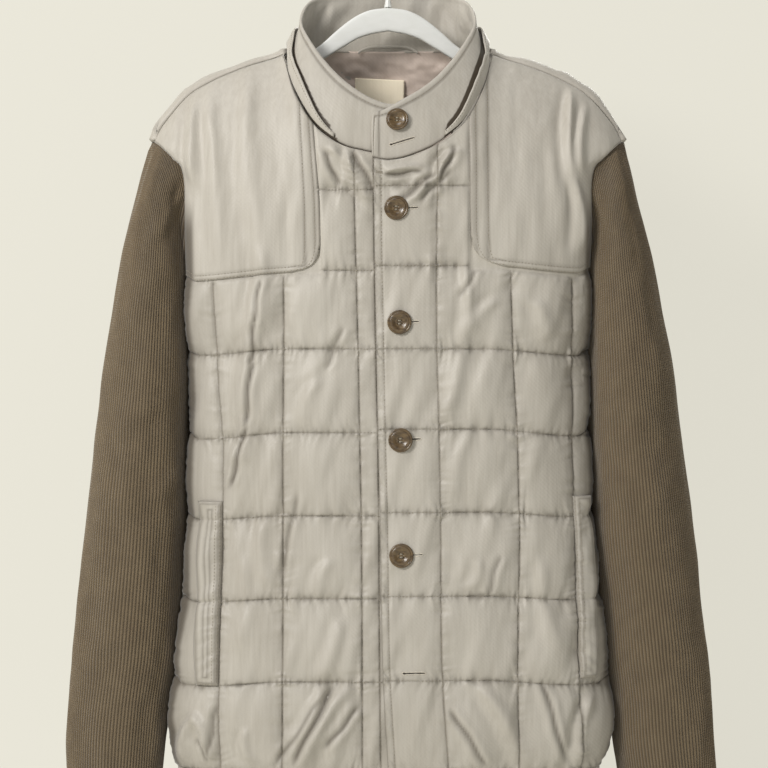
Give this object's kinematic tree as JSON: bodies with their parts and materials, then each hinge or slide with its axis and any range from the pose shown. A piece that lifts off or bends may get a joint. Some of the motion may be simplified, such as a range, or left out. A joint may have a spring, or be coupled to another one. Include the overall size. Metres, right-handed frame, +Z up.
{
  "type": "quilted jacket on a hanger",
  "caption": "Quilted button-front jacket with plain shoulder yokes, a tabbed stand collar and rib-knit sleeves, hanging on a plain hanger",
  "frame": {"origin": "the inside crown of the hanger's hook, where the rail carries it", "axes": "+Z up, the jacket's front faces -Y, and the wearer's left side lies at +X"},
  "size_m": [0.6512, 0.1568, 0.884],
  "materials": {
    "shell": "light stone woven nylon with a soft sheen",
    "lining": "smooth mauve-brown lining",
    "knit": "taupe-brown fine rib knit",
    "label": "blank cream woven tape",
    "button": "mottled brown, semi-gloss",
    "hanger": "off-white, satin"
  },
  "bodies": {
    "root": {"front_left": "shell", "front_right": "shell", "back": "shell", "yoke_left": "shell", "yoke_right": "shell", "yoke_back": "shell", "welt_left": "shell", "welt_right": "shell", "collar": "shell", "collar_band": "shell", "hem_band": "shell", "hanger_loop": "shell", "back_lining": "lining", "neck_label": "label", "sleeve_left": "knit", "sleeve_right": "knit", "button_1": "button", "button_2": "button", "button_3": "button", "button_4": "button", "button_5": "button", "hanger_body": "hanger", "hanger_hook": "hanger"}
  },
  "joints": []
}
